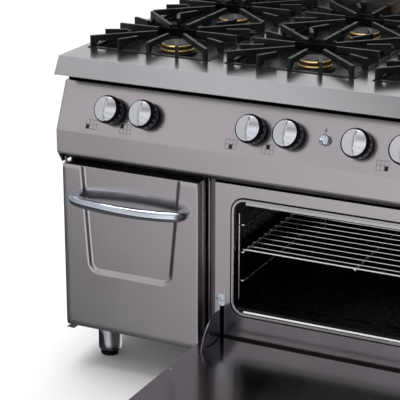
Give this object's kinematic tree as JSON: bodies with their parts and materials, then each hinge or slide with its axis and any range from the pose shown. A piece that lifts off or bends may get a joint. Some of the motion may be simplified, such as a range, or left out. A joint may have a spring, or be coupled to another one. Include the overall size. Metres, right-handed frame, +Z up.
{
  "type": "freestanding gas range",
  "caption": "Freestanding gas range on legs with six burners, a sloping control panel, a side cupboard and a drop-door oven shown open.",
  "frame": {"origin": "on the floor, at the middle of the object's outline seen from above, with the oven door open", "axes": "+X to the right as seen from the front, +Y towards the back, +Z up; the doors and knobs face -Y"},
  "size_m": [1.2, 1.3044, 0.95],
  "materials": {
    "stainless": "satin brushed",
    "chrome": "polished",
    "black_enamel": "gloss enamel",
    "cast_iron": "matt enamelled",
    "brass": "machined",
    "black_plastic": "gloss"
  },
  "bodies": {
    "range": {"side_panel_left": "stainless", "side_panel_right": "stainless", "back_panel": "stainless", "bottom_panel": "stainless", "divider_panel": "stainless", "control_panel": "stainless", "worktop": "stainless", "flue_outlet": "stainless", "oven_front_frame": "stainless", "oven_mouth_trim": "stainless", "leg_front_left": "chrome", "leg_front_right": "chrome", "leg_rear_left": "chrome", "leg_rear_right": "chrome", "shelf_ladder_left": "chrome", "shelf_ladder_right": "chrome", "cupboard_hinge_upper": "chrome", "cupboard_hinge_lower": "chrome", "lower_valance": "black_enamel", "burner_tray_left": "black_enamel", "burner_tray_middle": "black_enamel", "burner_tray_right": "black_enamel", "oven_cavity": "black_enamel", "oven_floor_plate": "black_enamel", "oven_burner": "cast_iron", "burner_cup_1": "cast_iron", "burner_cup_2": "cast_iron", "burner_cup_3": "cast_iron", "burner_cup_4": "cast_iron", "burner_cup_5": "cast_iron", "burner_cup_6": "cast_iron", "gas_rail": "brass", "burner_crown_1": "brass", "burner_crown_2": "brass", "burner_crown_3": "brass", "burner_crown_4": "brass", "burner_crown_5": "brass", "burner_crown_6": "brass"},
    "cupboard_door": {"cupboard_door": "stainless", "cupboard_handle": "chrome"},
    "oven_door": {"oven_door_shell": "stainless", "oven_door_liner": "stainless", "oven_door_handle": "chrome", "oven_hinge_left": "stainless", "oven_hinge_right": "stainless"},
    "oven_rack": {"oven_rack": "chrome"},
    "igniter_button": {"igniter_button": "chrome"},
    "knob_oven": {"knob_oven": "black_plastic"},
    "knob_burner_1": {"knob_burner_1": "black_plastic"},
    "pan_support_1": {"pan_support_1": "cast_iron"},
    "knob_burner_2": {"knob_burner_2": "black_plastic"},
    "pan_support_2": {"pan_support_2": "cast_iron"},
    "knob_burner_3": {"knob_burner_3": "black_plastic"},
    "pan_support_3": {"pan_support_3": "cast_iron"},
    "knob_burner_4": {"knob_burner_4": "black_plastic"},
    "pan_support_4": {"pan_support_4": "cast_iron"},
    "knob_burner_5": {"knob_burner_5": "black_plastic"},
    "pan_support_5": {"pan_support_5": "cast_iron"},
    "knob_burner_6": {"knob_burner_6": "black_plastic"},
    "pan_support_6": {"pan_support_6": "cast_iron"}
  },
  "joints": [
    {"name": "burner_tap_1", "type": "hinge", "parent": "range", "child": "knob_burner_1", "pos_m": [-0.445, -0.217, 0.737], "axis": [0, -0.913, 0.4079], "range_deg": [0, 180]},
    {"name": "burner_tap_2", "type": "hinge", "parent": "range", "child": "knob_burner_2", "pos_m": [-0.345, -0.217, 0.737], "axis": [0, -0.913, 0.4079], "range_deg": [0, 180]},
    {"name": "burner_tap_3", "type": "hinge", "parent": "range", "child": "knob_burner_3", "pos_m": [-0.045, -0.217, 0.737], "axis": [0, -0.913, 0.4079], "range_deg": [0, 180]},
    {"name": "burner_tap_4", "type": "hinge", "parent": "range", "child": "knob_burner_4", "pos_m": [0.055, -0.217, 0.737], "axis": [0, -0.913, 0.4079], "range_deg": [0, 180]},
    {"name": "burner_tap_5", "type": "hinge", "parent": "range", "child": "knob_burner_5", "pos_m": [0.355, -0.217, 0.737], "axis": [0, -0.913, 0.4079], "range_deg": [0, 180]},
    {"name": "burner_tap_6", "type": "hinge", "parent": "range", "child": "knob_burner_6", "pos_m": [0.455, -0.217, 0.737], "axis": [0, -0.913, 0.4079], "range_deg": [0, 180]},
    {"name": "oven_thermostat", "type": "hinge", "parent": "range", "child": "knob_oven", "pos_m": [0.234, -0.217, 0.737], "axis": [0, -0.913, 0.4079], "range_deg": [0, 270]},
    {"name": "igniter_press", "type": "slide", "parent": "range", "child": "igniter_button", "axis": [0, 0.913, -0.4079], "range_m": [0, 0.005], "stiffness_N_per_m": 400, "springref_m": -0.002},
    {"name": "cupboard_door_hinge", "type": "hinge", "parent": "range", "child": "cupboard_door", "pos_m": [-0.59, -0.21475, 0.35], "axis": [0, 0, -1], "range_deg": [0, 110]},
    {"name": "oven_door_hinge", "type": "hinge", "parent": "range", "child": "oven_door", "pos_m": [0.205, -0.20175, 0.128], "axis": [1, 0, 0], "range_deg": [-90, 0]},
    {"name": "oven_rack_slide", "type": "slide", "parent": "range", "child": "oven_rack", "axis": [0, -1, 0], "range_m": [0, 0.3]},
    {"name": "pan_support_lift_1", "type": "slide", "parent": "range", "child": "pan_support_1", "axis": [0, 0, 1], "range_m": [0, 0.12]},
    {"name": "pan_support_lift_2", "type": "slide", "parent": "range", "child": "pan_support_2", "axis": [0, 0, 1], "range_m": [0, 0.12]},
    {"name": "pan_support_lift_3", "type": "slide", "parent": "range", "child": "pan_support_3", "axis": [0, 0, 1], "range_m": [0, 0.12]},
    {"name": "pan_support_lift_4", "type": "slide", "parent": "range", "child": "pan_support_4", "axis": [0, 0, 1], "range_m": [0, 0.12]},
    {"name": "pan_support_lift_5", "type": "slide", "parent": "range", "child": "pan_support_5", "axis": [0, 0, 1], "range_m": [0, 0.12]},
    {"name": "pan_support_lift_6", "type": "slide", "parent": "range", "child": "pan_support_6", "axis": [0, 0, 1], "range_m": [0, 0.12]}
  ]
}
